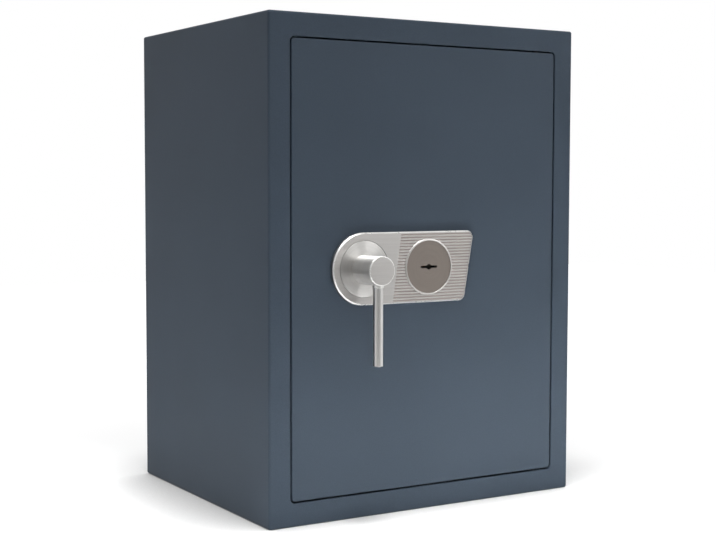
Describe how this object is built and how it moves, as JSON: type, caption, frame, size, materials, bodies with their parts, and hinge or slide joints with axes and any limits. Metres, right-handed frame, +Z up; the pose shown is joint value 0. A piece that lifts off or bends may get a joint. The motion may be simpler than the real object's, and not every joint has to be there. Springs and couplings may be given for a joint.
{
  "type": "safe cabinet",
  "caption": "Free-standing safe cabinet with a flush inset door on concealed pivots, lever-driven bolts on three sides, key lock and a shelf.",
  "frame": {"origin": "centre of the cabinet's base, on the surface it stands on", "axes": "+X to the right seen from the front, +Y to the back, +Z up; the door faces -Y"},
  "size_m": [0.445, 0.4108, 0.6],
  "materials": {
    "casing_paint": "fine-textured slate blue-grey powder coat",
    "door_paint": "fine-textured slate blue-grey powder coat",
    "inside_paint": "fine-textured light grey powder coat",
    "jamb_paint": "dark slate powder coat",
    "barrier_fill": "cast lightweight fire filling",
    "zinc_steel": "bright zinc-plated steel",
    "bolt_steel": "ground and nickel-plated steel",
    "screw_steel": "zinc-plated steel",
    "hard_steel": "blackened hardened steel",
    "bearing_brass": "turned brass",
    "lock_metal": "zinc-plated steel",
    "plate_stainless": "brushed stainless steel with ribbed grooves",
    "rosette_stainless": "satin stainless steel with a bright chamfer",
    "handle_stainless": "turned and brushed stainless steel",
    "seal_strip": "black graphite swelling strip"
  },
  "bodies": {
    "cabinet": {"outer_casing": "casing_paint", "rear_panel": "casing_paint", "door_jamb": "jamb_paint", "inner_liner": "inside_paint", "side_barriers": "barrier_fill", "top_barrier": "barrier_fill", "bottom_barrier": "barrier_fill", "rear_barrier": "barrier_fill", "base_anchor_sleeves": "zinc_steel", "rear_anchor_sleeves": "zinc_steel", "shelf": "inside_paint", "shelf_pegs": "zinc_steel", "fire_seal": "seal_strip", "hinge_brackets": "jamb_paint", "hinge_bushes": "hard_steel"},
    "door": {"door_plate": "door_paint", "door_pan": "jamb_paint", "dead_bar": "zinc_steel", "door_barrier": "barrier_fill", "drill_plate": "hard_steel", "boltwork_plate": "zinc_steel", "base_plate_screws": "screw_steel", "cover_posts": "zinc_steel", "inner_cover": "inside_paint", "cover_screws": "screw_steel", "hinge_pins": "hard_steel", "hinge_blocks": "zinc_steel", "lock_plate": "plate_stainless", "key_rosette": "rosette_stainless", "plate_studs": "zinc_steel", "plate_nuts": "zinc_steel", "spindle_bush": "bearing_brass", "bolt_guides": "bearing_brass", "bar_guides": "zinc_steel", "lock_case": "lock_metal", "lock_cover": "lock_metal", "lock_screws": "screw_steel", "lever_tumblers": "bearing_brass", "tumbler_stud": "screw_steel"},
    "handle": {"handle_rose": "handle_stainless", "handle_hub": "handle_stainless", "handle_lever": "handle_stainless", "lever_collar": "handle_stainless", "handle_spindle": "bolt_steel", "spindle_screw": "screw_steel", "cam_disc": "zinc_steel"},
    "bolt_carriage": {"carriage_bar": "zinc_steel", "lock_side_bolts": "bolt_steel", "carriage_pin": "bolt_steel"},
    "top_bolt_bar": {"top_bar": "zinc_steel", "top_bolt": "bolt_steel", "top_bar_pin": "bolt_steel"},
    "bottom_bolt_bar": {"bottom_bar": "zinc_steel", "bottom_bolt": "bolt_steel", "bottom_bar_pin": "bolt_steel"},
    "key_barrel": {"key_curtain": "bearing_brass"},
    "lock_bolt_slide": {"lock_bolt": "lock_metal"}
  },
  "joints": [
    {"name": "door_hinge", "type": "hinge", "parent": "cabinet", "child": "door", "pos_m": [0.1685, -0.1725, 0.3], "axis": [0, 0, 1], "range_deg": [0, 105]},
    {"name": "handle_turn", "type": "hinge", "parent": "door", "child": "handle", "pos_m": [-0.097, -0.19, 0.301], "axis": [0, 1, 0], "range_deg": [0, 90]},
    {"name": "side_bolts_slide", "type": "slide", "parent": "door", "child": "bolt_carriage", "axis": [-1, 0, 0], "range_m": [0, 0.02]},
    {"name": "top_bolt_slide", "type": "slide", "parent": "door", "child": "top_bolt_bar", "axis": [0, 0, 1], "range_m": [0, 0.02]},
    {"name": "bottom_bolt_slide", "type": "slide", "parent": "door", "child": "bottom_bolt_bar", "axis": [0, 0, -1], "range_m": [0, 0.02]},
    {"name": "key_turn", "type": "hinge", "parent": "door", "child": "key_barrel", "pos_m": [-0.005, -0.155, 0.301], "axis": [0, 1, 0], "range_deg": [0, 180]},
    {"name": "lock_bolt_slide", "type": "slide", "parent": "door", "child": "lock_bolt_slide", "axis": [0, 0, -1], "range_m": [0, 0.012]}
  ],
  "couplings": [
    {"joint": "side_bolts_slide", "follows": "handle_turn", "m_per_rad": 0.012732},
    {"joint": "top_bolt_slide", "follows": "handle_turn", "m_per_rad": 0.012732},
    {"joint": "bottom_bolt_slide", "follows": "handle_turn", "m_per_rad": 0.012732},
    {"joint": "lock_bolt_slide", "follows": "key_turn", "m_per_rad": 0.0038197}
  ]
}
